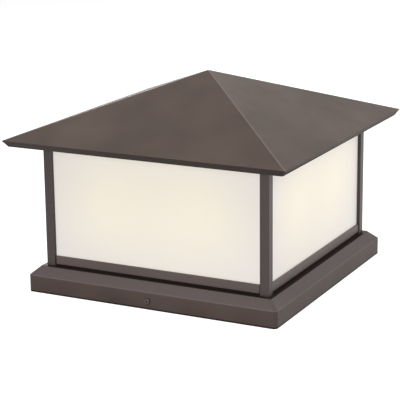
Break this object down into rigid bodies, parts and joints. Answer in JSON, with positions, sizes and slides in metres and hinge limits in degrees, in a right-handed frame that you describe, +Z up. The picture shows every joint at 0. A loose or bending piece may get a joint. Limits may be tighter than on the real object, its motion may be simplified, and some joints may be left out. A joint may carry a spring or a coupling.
{
  "type": "pier-mount lantern",
  "caption": "Square outdoor lantern for the top of a pier: low hipped metal roof, four opal glass panes, chamfered base and four screw-in lamps inside.",
  "frame": {"origin": "middle of the base's underside, which is the top of the pier", "axes": "+Z up along the lantern's middle, +X to the right and -Y to the front"},
  "size_m": [0.3778, 0.3778, 0.2654],
  "materials": {
    "bronze_paint": "satin dark bronze paint on cast and folded aluminium",
    "bronze_screw": "dark bronze coated steel, semi-gloss",
    "opal_glass": "opal glass, etched outside",
    "lamp_glass": "inside-frosted glass, lit warm white",
    "lamp_cap_metal": "pressed and rolled aluminium, bright",
    "zinc_steel": "bright zinc-plated steel",
    "white_enamel": "gloss white stoved enamel",
    "ground_green": "green dyed zinc plate",
    "porcelain": "white glazed porcelain",
    "brass": "bright pressed brass",
    "rubber": "matt black closed-cell and moulded rubber",
    "wire_black": "black wire insulation",
    "wire_white": "white wire insulation",
    "wire_green": "green wire insulation",
    "connector_plastic": "moulded orange plastic"
  },
  "bodies": {
    "pier_mount": {"pier_seal": "rubber", "mounting_plate": "zinc_steel", "wire_bushing": "rubber", "wiring_cover": "white_enamel", "cover_screws": "zinc_steel", "ground_screw": "ground_green", "ground_lead": "wire_green", "wire_connectors": "connector_plastic", "black_leads": "wire_black", "white_leads": "wire_white", "lampholder_foot_front_right": "porcelain", "lampholder_foot_rear_right": "porcelain", "lampholder_foot_rear_left": "porcelain", "lampholder_foot_front_left": "porcelain", "lampholder_front_right": "porcelain", "lampholder_rear_right": "porcelain", "lampholder_rear_left": "porcelain", "lampholder_front_left": "porcelain", "screw_shell_front_right": "brass", "screw_shell_rear_right": "brass", "screw_shell_rear_left": "brass", "screw_shell_front_left": "brass", "centre_contacts": "brass", "lampholder_screws": "zinc_steel"},
    "lantern": {"base_skirt": "bronze_paint", "base_screw_nuts": "zinc_steel", "post_front_right": "bronze_paint", "post_rear_right": "bronze_paint", "post_rear_left": "bronze_paint", "post_front_left": "bronze_paint", "rail_seals": "rubber", "bottom_rail_front": "bronze_paint", "bottom_rail_right": "bronze_paint", "bottom_rail_rear": "bronze_paint", "bottom_rail_left": "bronze_paint", "top_rail_front": "bronze_paint", "top_rail_right": "bronze_paint", "top_rail_rear": "bronze_paint", "top_rail_left": "bronze_paint", "glass_pads": "rubber", "glass_front": "opal_glass", "glass_right": "opal_glass", "glass_rear": "opal_glass", "glass_left": "opal_glass", "roof_plate": "white_enamel", "roof": "bronze_paint", "roof_clips": "zinc_steel", "roof_screws": "bronze_screw", "post_foot_screws": "zinc_steel", "post_head_screws": "zinc_steel"},
    "lamp_front_right": {"bulb_glass_front_right": "lamp_glass", "bulb_cap_front_right": "lamp_cap_metal"},
    "lamp_rear_right": {"bulb_glass_rear_right": "lamp_glass", "bulb_cap_rear_right": "lamp_cap_metal"},
    "lamp_rear_left": {"bulb_glass_rear_left": "lamp_glass", "bulb_cap_rear_left": "lamp_cap_metal"},
    "lamp_front_left": {"bulb_glass_front_left": "lamp_glass", "bulb_cap_front_left": "lamp_cap_metal"},
    "front_screw": {"front_base_screw": "bronze_screw"},
    "rear_screw": {"rear_base_screw": "bronze_screw"}
  },
  "joints": [
    {"name": "lantern_lift", "type": "slide", "parent": "pier_mount", "child": "lantern", "axis": [0, 0, 1], "range_m": [0, 0.19]},
    {"name": "lamp_out_front_right", "type": "slide", "parent": "pier_mount", "child": "lamp_front_right", "axis": [0, 0, 1], "range_m": [0, 0.028]},
    {"name": "lamp_out_rear_right", "type": "slide", "parent": "pier_mount", "child": "lamp_rear_right", "axis": [0, 0, 1], "range_m": [0, 0.028]},
    {"name": "lamp_out_rear_left", "type": "slide", "parent": "pier_mount", "child": "lamp_rear_left", "axis": [0, 0, 1], "range_m": [0, 0.028]},
    {"name": "lamp_out_front_left", "type": "slide", "parent": "pier_mount", "child": "lamp_front_left", "axis": [0, 0, 1], "range_m": [0, 0.028]},
    {"name": "front_screw_out", "type": "slide", "parent": "lantern", "child": "front_screw", "axis": [0, -1, 0], "range_m": [0, 0.012]},
    {"name": "rear_screw_out", "type": "slide", "parent": "lantern", "child": "rear_screw", "axis": [0, 1, 0], "range_m": [0, 0.012]}
  ]
}
